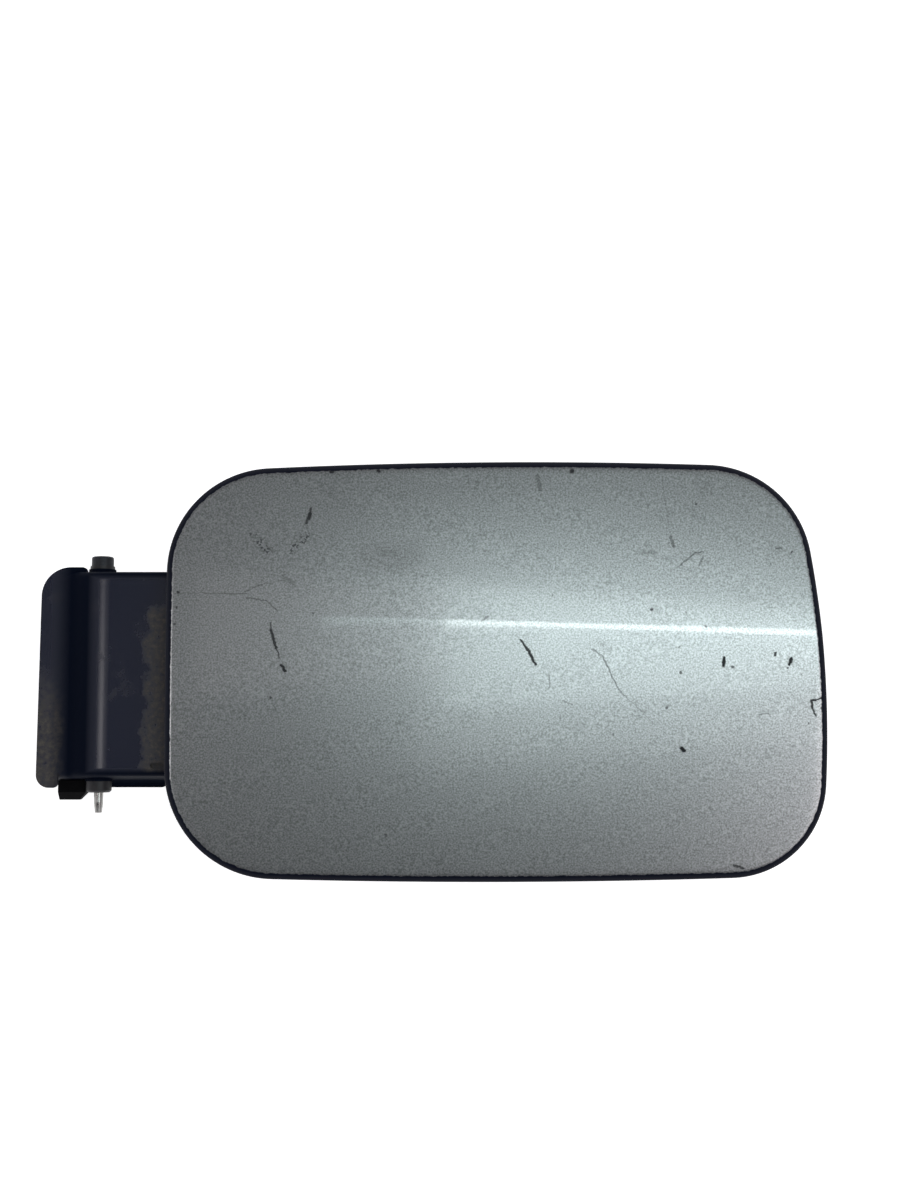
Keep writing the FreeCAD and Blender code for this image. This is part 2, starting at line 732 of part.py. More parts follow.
def make_bumper(place):
    """Push-in rubber button with its bulb above the inner panel."""
    button = upright(bumper_radius, place, seat_z - bumper_height, seat_z)
    button = button.makeFillet(bumper_height * 0.45, bottom_edges(button))
    neck = upright(bumper_neck_radius, place, seat_z, plateau_top)
    bulb = turned([(0, plateau_top), (bumper_bulb_radius, plateau_top), (bumper_bulb_radius * 0.5,
                   plateau_top + bumper_bulb), (0, plateau_top + bumper_bulb)], place)
    return button.fuse([neck, bulb]).removeSplitter()


def make_stop_buffer(arm):
    """Rubber block that sits over the lip's lower edge, with its upper outer edge cut off."""
    right = -buffer_from_pin
    outer = -(lip_half_width + buffer_width)
    block = Part.makeBox(buffer_length, buffer_width, buffer_height,
                         Vector(right - buffer_length, outer, lip_bottom))
    top_outer = nearest_edges(block, Vector(right - buffer_length / 2, outer, lip_bottom + buffer_height))
    block = block.makeChamfer(buffer_chamfer, top_outer)
    corner = nearest_edges(block, Vector(right, outer, lip_bottom))
    corner = [edge for edge in corner if edge.BoundBox.ZLength > 1]
    if corner:
        block = block.makeChamfer(buffer_chamfer, corner)
    return max(block.cut(arm).Solids, key=lambda solid: solid.Volume)


def make_mastic_pads():
    """Soft pads on the inner panel that follow the skin just under it."""
    room = under_face(skin_sheet + mastic_gap)
    pads = []
    for x, y in mastic_places:
        pads.append(upright(mastic_radius, (hinge_reach + x, y), plateau_top, clear).common(room))
    return Part.makeCompound(pads)


face_block = make_face_block()
eye_x = free_edge - eye_from_free_edge
holder_x = hinge_reach + holder_from_hinge_edge
foot_screws = [(hinge_reach + x, y) for x, y in screw_places]
eye_rivets = [(eye_x - rivet_from_bend, side * rivet_spacing / 2) for side in (1, -1)]
holder_barbs = [(holder_x + side * barb_spacing / 2, 0.0) for side in (1, -1)]
bumper_reach = panel_height / 2 - bumper_from_long_edge
bumpers = [(free_edge - bumper_from_free_edge, panel_rise + side * bumper_reach) for side in (1, -1)]

hinge_arm = make_hinge_arm()
nodes = {
    "outer_skin": make_outer_skin(),
    "inner_panel": make_inner_panel(),
    "hinge_arm": hinge_arm,
    "hinge_pin": make_hinge_pin(),
    "upper_bush": make_upper_bush(),
    "lower_bush": make_lower_bush(),
    "torsion_spring": make_torsion_spring(),
    "arm_screws": make_arm_screws(),
    "weld_nuts": make_weld_nuts(),
    "lock_eye": make_lock_eye(),
    "lock_eye_rivets": make_lock_eye_rivets(),
    "cap_holder": make_cap_holder(),
    "bumper_upper": make_bumper(bumpers[0]),
    "bumper_lower": make_bumper(bumpers[1]),
    "stop_buffer": make_stop_buffer(hinge_arm),
    "mastic_pads": make_mastic_pads(),
}

# The origin is the middle of the part's footprint, at the level it lies on
outline_box = inset_wire(0).BoundBox
to_origin = Vector(
    -(outline_box.XMax + flange_left) / 2,
    -(outline_box.YMax + outline_box.YMin) / 2,
    -lip_bottom,
)
os.makedirs("parts", exist_ok=True)
for name, shape in nodes.items():
    shape.translate(to_origin)
    shape.exportStep("parts/" + name + ".step")
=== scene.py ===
import json
import math

import bpy
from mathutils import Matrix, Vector


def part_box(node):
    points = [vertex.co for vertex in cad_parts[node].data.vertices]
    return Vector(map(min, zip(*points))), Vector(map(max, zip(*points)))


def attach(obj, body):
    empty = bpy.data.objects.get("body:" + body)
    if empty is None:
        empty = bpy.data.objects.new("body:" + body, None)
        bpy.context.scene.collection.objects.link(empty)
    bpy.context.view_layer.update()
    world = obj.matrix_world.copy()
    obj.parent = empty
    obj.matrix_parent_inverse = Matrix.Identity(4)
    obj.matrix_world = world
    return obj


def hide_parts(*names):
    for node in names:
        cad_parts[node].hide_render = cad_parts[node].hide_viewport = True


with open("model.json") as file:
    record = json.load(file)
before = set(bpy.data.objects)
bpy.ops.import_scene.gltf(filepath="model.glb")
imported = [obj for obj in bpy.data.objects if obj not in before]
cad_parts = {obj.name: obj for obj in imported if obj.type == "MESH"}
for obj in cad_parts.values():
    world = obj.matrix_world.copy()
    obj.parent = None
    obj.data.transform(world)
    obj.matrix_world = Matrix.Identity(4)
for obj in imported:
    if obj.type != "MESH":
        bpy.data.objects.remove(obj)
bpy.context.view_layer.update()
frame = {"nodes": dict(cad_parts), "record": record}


# Inner panel: the pressed steel back of the flap, held all round in the hem of the outer skin.
# It is dip-coated and sprayed dark navy with the car's shell, and road dust has dried on it.

def linear(code):
    """Linear colour, with alpha, of an sRGB hex value."""
    parts = [int(code[i:i + 2], 16) / 255 for i in (0, 2, 4)]
    return tuple(p / 12.92 if p <= 0.04045 else ((p + 0.055) / 1.055) ** 2.4 for p in parts) + (1.0,)


def add_node(material, kind, inputs=None, **settings):
    """Adds a node to a material: its settings, then its inputs, each a value or a link from an output."""
    node = material.node_tree.nodes.new(kind)
    for name, value in settings.items():
        setattr(node, name, value)
    for socket, value in (inputs or {}).items():
        if isinstance(value, bpy.types.NodeSocket):
            material.node_tree.links.new(value, node.inputs[socket])
        else:
            node.inputs[socket].default_value = value
    return node


def new_material(name):
    """A new node material and its shader, ready for links."""
    material = bpy.data.materials.new(name)
    material.use_nodes = True
    shader = material.node_tree.nodes["Principled BSDF"]
    return material, shader


def dress(node, material):
    """Gives a solid of the frame its material."""
    mesh = frame["nodes"][node].data
    mesh.materials.clear()
    mesh.materials.append(material)


def per_metre(size_mm):
    """Texture scale, in object metres, at which one cell of a noise is about this wide."""
    return 1000.0 / size_mm


# Sockets of a Mix node: its two colours, and the colour that it gives
first_colour, second_colour, mixed_colour = 6, 7, 2

# Sprayed navy enamel: a deep blue-black with a wet shine, slightly uneven from the spray. Dust has dried on
# it in a thin film, thick where water stands: beside the panel, on the flange in front of the pin and on
# the lower lip.
pin_place = Vector(frame["record"]["behaviour"]["joints"][0]["pos_m"]) * 1000
navy, shader = new_material("sprayed_navy_enamel")
place = add_node(navy, "ShaderNodeTexCoord").outputs["Object"]
from_pin = add_node(navy, "ShaderNodeVectorMath", {0: place, 1: tuple(pin_place / 1000)},
                    operation="SUBTRACT").outputs[0]
from_pin_mm = add_node(navy, "ShaderNodeVectorMath", {0: from_pin, "Scale": 1000.0},
                       operation="SCALE").outputs[0]
pin_x, pin_y, pin_z = add_node(navy, "ShaderNodeSeparateXYZ", {0: from_pin_mm}).outputs
from_middle = add_node(navy, "ShaderNodeMath", {0: pin_y}, operation="ABSOLUTE").outputs[0]
drift = add_node(navy, "ShaderNodeTexNoise", {"Vector": place, "Scale": per_metre(7.0), "Detail": 4.0})
drift_mm = add_node(navy, "ShaderNodeMapRange",
                    {"Value": drift.outputs["Fac"], "To Min": -5.0, "To Max": 5.0}).outputs["Result"]
along = add_node(navy, "ShaderNodeMath", {0: pin_x, 1: drift_mm}, operation="ADD").outputs[0]
across = add_node(navy, "ShaderNodeMath", {0: pin_y, 1: drift_mm}, operation="ADD").outputs[0]
facing = add_node(navy, "ShaderNodeTexCoord").outputs["Normal"]
facing_up = add_node(navy, "ShaderNodeSeparateXYZ", {0: facing}).outputs["Z"]


def within(bounds, amount, easing):
    """An amount that is whole inside all bounds of a place: each an axis, its start and where it is whole."""
    for axis, start, full in bounds:
        ramp = add_node(navy, "ShaderNodeMapRange", {"Value": axis, "From Min": start, "From Max": full},
                        interpolation_type=easing)
        amount = add_node(navy, "ShaderNodeMath", {0: ramp.outputs["Result"], 1: amount},
                          operation="MULTIPLY").outputs[0]
    return amount


# Where dust gathers: the bounds of each place, in millimetres from the pin, then its thickness. Beside the
# panel and on the flange it lies only on faces that look up
dust_places = (
    (((along, 15.0, 17.5), (across, 21.0, 18.0), (facing_up, 0.3, 0.7)), 0.8),
    (((along, -9.0, -12.0), (across, 6.0, -16.0), (facing_up, 0.3, 0.7)), 0.8),
    (((across, -29.0, -33.0), (pin_z, 8.0, 3.0)), 0.6),
)
gathered = 0.0
for bounds, thickness in dust_places:
    lies = within(bounds, thickness, "SMOOTHSTEP")
    gathered = add_node(navy, "ShaderNodeMath", {0: lies, 1: gathered}, operation="MAXIMUM").outputs[0]
specks = add_node(navy, "ShaderNodeTexNoise",
                  {"Vector": place, "Scale": per_metre(1.6), "Detail": 6.0, "Roughness": 0.7})
speckled = add_node(navy, "ShaderNodeMapRange",
                    {"Value": specks.outputs["Fac"], "From Min": 0.32, "From Max": 0.62}).outputs["Result"]
caked = add_node(navy, "ShaderNodeMath", {0: gathered, 1: speckled}, operation="MULTIPLY").outputs[0]
film = add_node(navy, "ShaderNodeTexNoise",
                {"Vector": place, "Scale": per_metre(9.0), "Detail": 8.0, "Roughness": 0.62})
thin = add_node(navy, "ShaderNodeMapRange",
                {"Value": film.outputs["Fac"], "From Min": 0.55, "From Max": 0.9, "To Max": 0.2})
dust = add_node(navy, "ShaderNodeMath", {0: caked, 1: thin.outputs["Result"]}, operation="MAXIMUM").outputs[0]
dusty = add_node(navy, "ShaderNodeMix",
                 {"Factor": dust, first_colour: linear("040f27"), second_colour: linear("514d46")},
                 data_type="RGBA").outputs[mixed_colour]
shine = add_node(navy, "ShaderNodeMapRange",
                 {"Value": dust, "From Max": 0.5, "To Min": 0.24, "To Max": 0.75}).outputs["Result"]

# The spray is thin and dry on the bends of the arm: where its back turns up into the flange, and along
# its walls. There the navy is also painted darker, as painted shade where these bends turn away from the
# light
dry_shaded_places = (
    ((pin_x, 1.5, -2.5), (pin_x, -15.0, -8.5)),
    ((from_middle, 28.6, 30.2), (pin_x, 28.0, 26.0), (pin_x, -10.0, -7.0)),
)
dry_and_shade = 0.0
for bounds in dry_shaded_places:
    bend = within(bounds, 1.0, "LINEAR")
    dry_and_shade = add_node(navy, "ShaderNodeMath", {0: bend, 1: dry_and_shade}, operation="MAXIMUM").outputs[0]
# Painted shade: the bends are mixed to a darker navy, besides their duller finish
sprayed = add_node(navy, "ShaderNodeMix",
                   {"Factor": dry_and_shade, first_colour: dusty, second_colour: linear("030a1a")}, data_type="RGBA")
roughness = add_node(navy, "ShaderNodeMix", {"Factor": dry_and_shade, "A": shine, "B": 0.7})
gloss = add_node(navy, "ShaderNodeMapRange", {"Value": dry_and_shade, "To Min": 0.5, "To Max": 0.05})
orange_peel = add_node(navy, "ShaderNodeTexNoise", {"Vector": place, "Scale": per_metre(2.5), "Detail": 2.0})
crust_height = 2.0
crust = add_node(navy, "ShaderNodeMath", {0: caked, 1: crust_height, 2: orange_peel.outputs["Fac"]},
                 operation="MULTIPLY_ADD")
bump = add_node(navy, "ShaderNodeBump", {"Height": crust.outputs[0], "Strength": 0.08, "Distance": 0.0002})
links = navy.node_tree.links
links.new(sprayed.outputs[mixed_colour], shader.inputs["Base Color"])
links.new(roughness.outputs[0], shader.inputs["Roughness"])
links.new(gloss.outputs["Result"], shader.inputs["Specular IOR Level"])
links.new(bump.outputs["Normal"], shader.inputs["Normal"])
dress("inner_panel", navy)


# Weld nuts: steel nuts, welded to the closed side of the inner panel for the screws of the hinge arm.
# They are zinc-plated like the screws and rivets.

def mottle(material, shader, width_mm, detail, colours, roughness=None):
    """Clouds a finish between two colours, and two roughnesses where it has them, and returns the pattern."""
    place = add_node(material, "ShaderNodeTexCoord").outputs["Object"]
    pattern = add_node(material, "ShaderNodeTexNoise",
                       {"Vector": place, "Scale": per_metre(width_mm), "Detail": detail}).outputs["Fac"]
    dark, pale = (linear(code) for code in colours)
    colour = add_node(material, "ShaderNodeMix", {"Factor": pattern, first_colour: dark, second_colour: pale},
                      data_type="RGBA")
    material.node_tree.links.new(colour.outputs[mixed_colour], shader.inputs["Base Color"])
    if roughness:
        smooth, rough = roughness
        shine = add_node(material, "ShaderNodeMapRange",
                         {"Value": pattern, "To Min": smooth, "To Max": rough})
        material.node_tree.links.new(shine.outputs["Result"], shader.inputs["Roughness"])
    return pattern


# Zinc-plated steel: a soft grey shine with a faint cloudy bloom from the plating bath.
zinc, shader = new_material("zinc_plated_steel")
shader.inputs["Metallic"].default_value = 1.0
mottle(zinc, shader, 3.0, 5.0, ("8d8b84", "c9c8c2"), (0.28, 0.5))
dress("weld_nuts", zinc)


# Mastic pads: blobs of anti-flutter mastic, squeezed between the inner panel and the skin before the hem is
# closed. They stay soft and dull.

# Cured mastic: a chalky beige with fine pores.
mastic, shader = new_material("cured_mastic")
shader.inputs["Roughness"].default_value = 0.85
pores = mottle(mastic, shader, 0.8, 4.0, ("8c8673", "b0a994"))
bump = add_node(mastic, "ShaderNodeBump", {"Height": pores, "Strength": 0.4, "Distance": 0.0003})
mastic.node_tree.links.new(bump.outputs["Normal"], shader.inputs["Normal"])
dress("mastic_pads", mastic)


# Outer skin: the pressed steel face of the flap, crowned, with the car's body crease running across it and
# fading towards the hinge. Its rim is rolled over and folded flat behind the inner panel as a hem. The face
# is sprayed silver over the navy, which still shows round the rim.

skin_low, skin_high = (Vector(corner) * 1000 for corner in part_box("outer_skin"))
panel_length = 198.2
panel_height = 126.3
panel_rise = 0.7
free_edge_lean = 6.3
top_edge_rise = 2.2
bottom_bow, free_bow, top_bow, hinge_bow = 2.0, 5.6, 2.6, 0.4
corner_radii = (33.0, 29.1, 31.7, 31.8)
crown_radius = 2000.0
crease_height = pin_place.y + 15.0
crease_fall = math.radians(1.9)
crease_fold = math.radians(4.0)
crease_width_hinge, crease_width_free = 0.4, 5.0
rim_radius = 2.4
rim_edge_radius = 0.6
rim_slope = math.radians(42.0)
rim_depth = 3.2
hem_fold = 0.6
hem_width = 9.0
hem_edge = 0.2
skin_sheet = 0.9
pocket_wall = 1.6
pocket_chamfer = 0.4


def side_circle(start, end, bow):
    """Centre and radius of the bowed side from start to end, which bulges to the right of its direction."""
    half = (end - start).length / 2
    radius = (half * half + bow * bow) / (2 * bow)
    along = (end - start).normalized()
    outward = Vector((along.y, -along.x))
    return (start + end) / 2 - outward * (radius - bow), radius


def circle_meet(first, first_radius, second, second_radius, near):
    """The point, nearest to a place, where two circles cross."""
    apart = second - first
    gap = apart.length
    run = (gap * gap + first_radius ** 2 - second_radius ** 2) / (2 * gap)
    rise = math.sqrt(first_radius ** 2 - run * run)
    foot = first + apart * (run / gap)
    across = Vector((-apart.y, apart.x)) * (rise / gap)
    return min((foot + across, foot - across), key=lambda point: (point - near).length)


left = skin_low.x + hinge_bow
right = skin_low.x + panel_length - free_bow
low = pin_place.y + panel_rise - panel_height / 2 + bottom_bow
high = pin_place.y + panel_rise + panel_height / 2 - top_bow
sharp = [Vector((left, low)),
         Vector((right + free_edge_lean / 2, low)),
         Vector((right - free_edge_lean / 2, high + top_edge_rise / 2)),
         Vector((left, high - top_edge_rise / 2))]
sides = [side_circle(sharp[i], sharp[(i + 1) % 4], bow)
         for i, bow in enumerate((bottom_bow, free_bow, top_bow, hinge_bow))]
corners = [circle_meet(sides[i - 1][0], sides[i - 1][1] - radius, sides[i][0], sides[i][1] - radius, sharp[i])
           for i, radius in enumerate(corner_radii)]


def arc(centre, radius, start_way, end_way):
    """A piece of the outline: centre, radius, first angle and turn, counter-clockwise."""
    first = math.atan2(start_way.y, start_way.x)
    turn = (math.atan2(end_way.y, end_way.x) - first) % (2 * math.pi)
    return centre, radius, first, turn


def walk(arcs, distances):
    """Points of a chain of arcs at given distances along it, each with its outward direction."""
    found = []
    for distance in distances:
        rest = distance
        for number, (centre, radius, first, turn) in enumerate(arcs):
            if rest <= radius * turn or number == len(arcs) - 1:
                angle = first + rest / radius
                way = Vector((math.cos(angle), math.sin(angle)))
                found.append((centre + way * radius, way))
                break
            rest -= radius * turn
    return found


def quarter(index):
    """Arcs of one side of the face, from the middle of its first corner to the middle of its second."""
    after = (index + 1) % 4
    centre, radius = sides[index]
    start_way = (corners[index] - centre).normalized()
    end_way = (corners[after] - centre).normalized()
    before_way = (corners[index] - sides[index - 1][0]).normalized()
    next_way = (corners[after] - sides[after][0]).normalized()
    middle = (before_way + start_way).normalized()
    next_middle = (end_way + next_way).normalized()
    return [arc(corners[index], corner_radii[index] - rim_radius, middle, start_way),
            arc(centre, radius - rim_radius, start_way, end_way),
            arc(corners[after], corner_radii[after] - rim_radius, end_way, next_middle)]


def chain_length(arcs):
    """Length of a chain of arcs."""
    return sum(radius * turn for centre, radius, first, turn in arcs)


crease_root = Vector((skin_low.x, crease_height + math.tan(crease_fall) * panel_length / 2))
splay = math.atan(crease_fold * crown_radius / (2 * panel_length))
curve_ways = [Vector((math.cos(a), math.sin(a))) for a in (splay - crease_fall, -splay - crease_fall)]


def face_height(point):
    """Level of the face over a place: the lower of two wide curves, with the crease between them rounded."""
    out = point - crease_root
    drops = []
    for way in curve_ways:
        away = way.x * out.y - way.y * out.x
        drops.append(crown_radius - math.sqrt(crown_radius ** 2 - away * away))
    share = min(max(out.x / panel_length, 0.0), 1.0)
    width = crease_width_hinge + (crease_width_free - crease_width_hinge) * share ** 2
    ease = crease_fold * share * width / 4
    mean = (drops[0] + drops[1]) / 2
    return skin_high.z - mean - math.hypot((drops[0] - drops[1]) / 2, ease)


# The face is a grid. Its rows run from the hinge end to the free end, and crowd together at the crease
rows_each_side = 60
columns = 150
row_crowding = 2.6
row_evenness = 0.25
crease_steps = 4000


def crease_at(arcs):
    """Distance along a side of the face at which it meets the crease."""
    length = chain_length(arcs)
    places = [length * step / crease_steps for step in range(crease_steps + 1)]
    offs = [abs(point.y - crease_root.y + math.tan(crease_fall) * (point.x - crease_root.x))
            for point, way in walk(arcs, places)]
    return places[offs.index(min(offs))]


def row_places(arcs):
    """Distances along an end of the face, close together at the crease and wider apart away from it."""
    length = chain_length(arcs)
    crease = crease_at(arcs)
    places = []
    for reach, sign in ((crease, -1), (length - crease, 1)):
        run = []
        for row in range(rows_each_side + 1):
            even = row / rows_each_side
            crowded = even ** row_crowding
            run.append(crease + sign * reach * (row_evenness * even * (1 - crowded) + crowded))
        places += run[::-1][:-1] if sign < 0 else run
    return places


bottom, free, top, hinge = (quarter(i) for i in range(4))
free_length, hinge_length = chain_length(free), chain_length(hinge)
free_places = row_places(free)
hinge_places = [hinge_length - p for p in row_places(hinge)][::-1]
hinge_line = walk(hinge, [hinge_length - p for p in hinge_places])
free_line = walk(free, free_places)
bottom_line = walk(bottom, [chain_length(bottom) * c / columns for c in range(columns + 1)])
top_line = walk(top, [chain_length(top) * (1 - c / columns) for c in range(columns + 1)])
rows = len(free_line)

face_points = []
for r in range(rows):
    v_hinge = hinge_places[r] / hinge_length
    v_free = free_places[r] / free_length
    for c in range(columns + 1):
        u = c / columns
        v = v_hinge * (1 - u) + v_free * u
        spot = (bottom_line[c][0] * (1 - v) + top_line[c][0] * v
                + hinge_line[r][0] * (1 - u) + free_line[r][0] * u
                - bottom_line[0][0] * (1 - u) * (1 - v) - bottom_line[columns][0] * u * (1 - v)
                - top_line[0][0] * (1 - u) * v - top_line[columns][0] * u * v)
        face_points.append(spot)

rim = [(c, way) for c, (spot, way) in enumerate(bottom_line)]
rim += [(r * (columns + 1) + columns, free_line[r][1]) for r in range(1, rows)]
rim += [((rows - 1) * (columns + 1) + c, top_line[c][1]) for c in range(columns - 1, -1, -1)]
rim += [(r * (columns + 1), hinge_line[r][1]) for r in range(rows - 2, 0, -1)]

# The rim's section, as inset from the outline and depth below the face: roll, tight edge, wall, fold, hem
# and pocket
roll_steps, edge_steps, fold_steps = 8, 5, 4
roll_radius = (rim_radius - rim_edge_radius * (1 - math.sin(rim_slope))) / math.sin(rim_slope)
roll_depth = roll_radius * (1 - math.cos(rim_slope))
roll_angles = [rim_slope * s / roll_steps for s in range(1, roll_steps + 1)]
edge_angles = [rim_slope + (math.pi / 2 - rim_slope) * s / edge_steps for s in range(1, edge_steps + 1)]
fold_angles = [math.pi / 2 * s / fold_steps for s in range(fold_steps + 1)]
section = [(rim_radius - roll_radius * math.sin(a), roll_radius * (1 - math.cos(a))) for a in roll_angles]
section += [(rim_edge_radius * (1 - math.sin(a)),
             roll_depth + rim_edge_radius * (math.cos(rim_slope) - math.cos(a))) for a in edge_angles]
section += [(hem_fold * (1 - math.cos(a)), rim_depth - hem_fold * (1 - math.sin(a))) for a in fold_angles]
section += [(hem_width - hem_edge, rim_depth), (hem_width, rim_depth - hem_edge)]
section += [(hem_width, rim_depth - skin_sheet), (pocket_wall, rim_depth - skin_sheet)]
section += [(pocket_wall, skin_sheet + pocket_chamfer)]

# Each point's distance from the outline, for the paint. Behind the edge it is below nought, and all is navy.
# Inside this cosine, seen from a corner's centre, the corner's arc is the nearest part of the outline
corner_cone = 0.7
points = [Vector((spot.x, spot.y, face_height(spot))) for spot in face_points]
insets = []
for spot in face_points:
    inset = min(radius - (spot - centre).length for centre, radius in sides)
    for corner, tip, radius in zip(corners, sharp, corner_radii):
        out = spot - corner
        if (tip - corner).dot(out) > corner_cone * out.length * (tip - corner).length:
            inset = min(inset, radius - out.length)
    insets.append(inset)
rim_start = len(points)
for inset, depth in section:
    for index, way in rim:
        spot = face_points[index] + way * (rim_radius - inset)
        points.append(Vector((spot.x, spot.y, face_height(spot) - depth)))
        insets.append(inset if depth < rim_depth / 2 else -depth)
ceiling_start = len(points)
points += [Vector((p.x, p.y, p.z - skin_sheet)) for p in points[:rim_start]]
insets += [-skin_sheet] * rim_start

faces = []
for r in range(rows - 1):
    for c in range(columns):
        a = r * (columns + 1) + c
        quad = (a, a + 1, a + columns + 2, a + columns + 1)
        faces.append(quad)
        faces.append(tuple(ceiling_start + i for i in quad[::-1]))
loops = [[index for index, way in rim]]
loops += [[rim_start + ring * len(rim) + i for i in range(len(rim))] for ring in range(len(section))]
loops += [[ceiling_start + index for index, way in rim]]
for inner, outer in zip(loops, loops[1:]):
    for i in range(len(rim)):
        j = (i + 1) % len(rim)
        faces.append((inner[i], outer[i], outer[j], inner[j]))

mesh = bpy.data.meshes.new("outer_skin_pressing")
mesh.from_pydata([p / 1000 for p in points], [], faces)
mesh.polygons.foreach_set("use_smooth", [True] * len(mesh.polygons))
attribute = mesh.attributes.new("from_edge_mm", "FLOAT", "POINT")
attribute.data.foreach_set("value", insets)
mesh.update()
skin = bpy.data.objects.new("outer_skin_pressing", mesh)
bpy.context.collection.objects.link(skin)
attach(skin, "door")
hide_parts("outer_skin")

# Silver metallic basecoat under clear lacquer: aluminium flakes give a broad soft sheen with a fine sparkle,
# and the lacquer a sharp reflection on top. Years of use have left dark scratches, scuffs and chips. Real
# flakes are too fine for the render, so they are drawn half a millimetre wide.
silver, shader = new_material("silver_metallic_lacquer")
shader.inputs["Coat Roughness"].default_value = 0.06
shader.inputs["Coat IOR"].default_value = 1.5
place = add_node(silver, "ShaderNodeTexCoord").outputs["Object"]
millimetres = add_node(silver, "ShaderNodeVectorMath", {0: place, 1: (1000.0, 1000.0, 0.0)},
                       operation="MULTIPLY").outputs[0]
flakes = add_node(silver, "ShaderNodeTexNoise", {"Vector": place, "Scale": per_metre(0.5), "Detail": 2.0})
clouds = add_node(silver, "ShaderNodeTexNoise", {"Vector": place, "Scale": per_metre(14.0), "Detail": 3.0})
edge = add_node(silver, "ShaderNodeAttribute", attribute_name="from_edge_mm").outputs["Fac"]
flake_tone = add_node(silver, "ShaderNodeMapRange",
                      {"Value": flakes.outputs["Fac"], "From Min": 0.3, "From Max": 0.7}).outputs["Result"]
flake_colour = add_node(silver, "ShaderNodeMix",
                        {"Factor": flake_tone, first_colour: linear("707373"),
                         second_colour: linear("a4a8a9")}, data_type="RGBA").outputs[mixed_colour]

# Marks on the face, in millimetres from a point on the level of the pin. Scratches, scuffs and smudges:
# start, end, width and strength
face_marks = (
    ((-56.2, 49.4), (-56.5, 47.7), 0.7, 0.8),
    ((-56.5, 47.7), (-56.9, 46.4), 1.2, 0.9),
    ((-56.9, 46.4), (-57.6, 45.0), 0.9, 0.8),
    ((-95.2, 23.7), (-88.4, 23.7), 0.3, 0.25),
    ((-88.4, 23.7), (-75.2, 23.4), 0.35, 0.45),
    ((-75.8, 24.0), (-70.6, 26.4), 0.35, 0.5),
    ((-70.6, 26.4), (-65.0, 27.4), 0.35, 0.25),
    ((-75.2, 22.2), (-69.4, 21.6), 0.45, 0.5),
    ((-69.4, 21.6), (-65.8, 18.3), 0.4, 0.5),
    ((-68.0, 14.6), (-67.9, 12.6), 0.5, 0.75),
    ((-67.9, 12.6), (-66.2, 7.2), 0.75, 0.9),
    ((-66.2, 7.2), (-65.3, 4.3), 0.45, 0.75),
    ((-64.6, 2.1), (-63.6, 0.4), 0.9, 0.95),
    ((-64.2, 28.5), (-61.4, 26.8), 1.5, 0.3),
    ((-37.6, 34.5), (-26.2, 34.8), 8.0, 0.12),
    ((-34.3, 35.7), (-31.0, 35.7), 2.2, 0.28),
    ((7.0, 9.6), (9.6, 6.0), 0.7, 0.9),
    ((9.6, 6.0), (11.3, 2.4), 0.85, 0.95),
    ((-4.6, 15.3), (-3.1, 16.5), 0.5, 0.5),
    ((28.4, 6.9), (31.4, 4.8), 0.45, 0.45),
    ((31.4, 4.8), (33.5, 0.6), 0.4, 0.5),
    ((33.5, 0.6), (36.2, -5.1), 0.4, 0.5),
    ((36.2, -5.1), (38.9, -7.8), 0.4, 0.45),
    ((38.9, -7.8), (47.0, -15.6), 0.3, 0.3),
    ((30.5, 9.0), (33.8, 6.6), 1.6, 0.15),
    ((67.9, 4.2), (67.7, 2.2), 1.0, 1.0),
    ((83.5, 5.9), (83.2, 5.0), 0.7, 0.9),
    ((88.3, 4.2), (87.5, 2.4), 0.75, 1.0),
    ((55.4, 32.4), (59.6, 36.0), 0.5, 0.55),
    ((59.6, 36.0), (62.0, 36.3), 0.5, 0.6),
    ((60.8, 32.1), (62.0, 34.5), 0.5, 0.5),
    ((52.4, 41.1), (53.3, 37.8), 0.7, 0.55),
    ((50.0, 60.0), (52.1, 42.0), 0.25, 0.25),
    ((43.1, 36.0), (47.9, 36.2), 0.8, 0.3),
    ((94.1, -8.4), (98.0, -7.7), 0.55, 0.95),
    ((94.0, -8.4), (94.4, -10.6), 0.8, 0.9),
    ((94.4, -10.6), (95.3, -12.9), 0.55, 0.8),
    ((55.1, -22.7), (55.7, -23.5), 1.1, 1.0),
    ((70.4, -57.6), (73.4, -58.4), 0.6, 0.8),
    ((15.4, -0.3), (15.5, -4.8), 0.4, 0.4),
    ((19.6, -8.7), (22.4, -9.6), 0.4, 0.4),
    ((78.1, -12.6), (81.4, -12.5), 0.35, 0.45),
    ((84.2, 37.5), (85.7, 37.4), 0.5, 0.6),
    ((12.3, 59.4), (13.2, 55.2), 1.2, 0.4),
)
# Stone chips and pits: place, width and strength
face_pits = (
    ((-55.3, 17.7), 0.7, 0.7), ((-67.9, -7.5), 0.8, 0.7), ((-22.6, 28.8), 0.6, 0.5), ((-7.6, 22.8), 0.6, 0.5),
    ((16.4, 23.1), 0.6, 0.6), ((46.4, 18.9), 0.9, 0.9), ((29.6, 22.2), 0.5, 0.5), ((56.9, 18.0), 0.6, 0.6),
    ((60.2, 51.0), 0.8, 0.7), ((89.0, 36.4), 0.8, 0.8), ((82.4, 32.7), 0.6, 0.6), ((70.4, 1.5), 0.9, 0.8),
    ((86.9, 1.4), 0.7, 0.9), ((55.1, 0.0), 0.9, 0.8), ((54.5, 7.5), 0.6, 0.6), ((62.6, 13.8), 0.8, 0.7),
    ((34.4, -18.6), 0.7, 0.6), ((50.6, -10.5), 0.8, 0.7), ((18.8, -13.8), 0.6, 0.5),
    ((97.4, -10.8), 1.2, 0.9), ((93.2, -15.3), 0.7, 0.7), ((91.1, -0.5), 0.6, 0.6),
    ((-33.4, -48.6), 0.8, 0.5), ((-49.9, 60.6), 1.3, 0.9), ((-35.8, 60.9), 1.3, 0.9),
    ((22.7, 60.9), 1.4, 0.9), ((-95.8, 24.0), 0.9, 0.8), ((-96.2, 19.5), 0.8, 0.8), ((-96.6, 14.4), 0.8, 0.7),
)
mark_zero_reach = 122.7
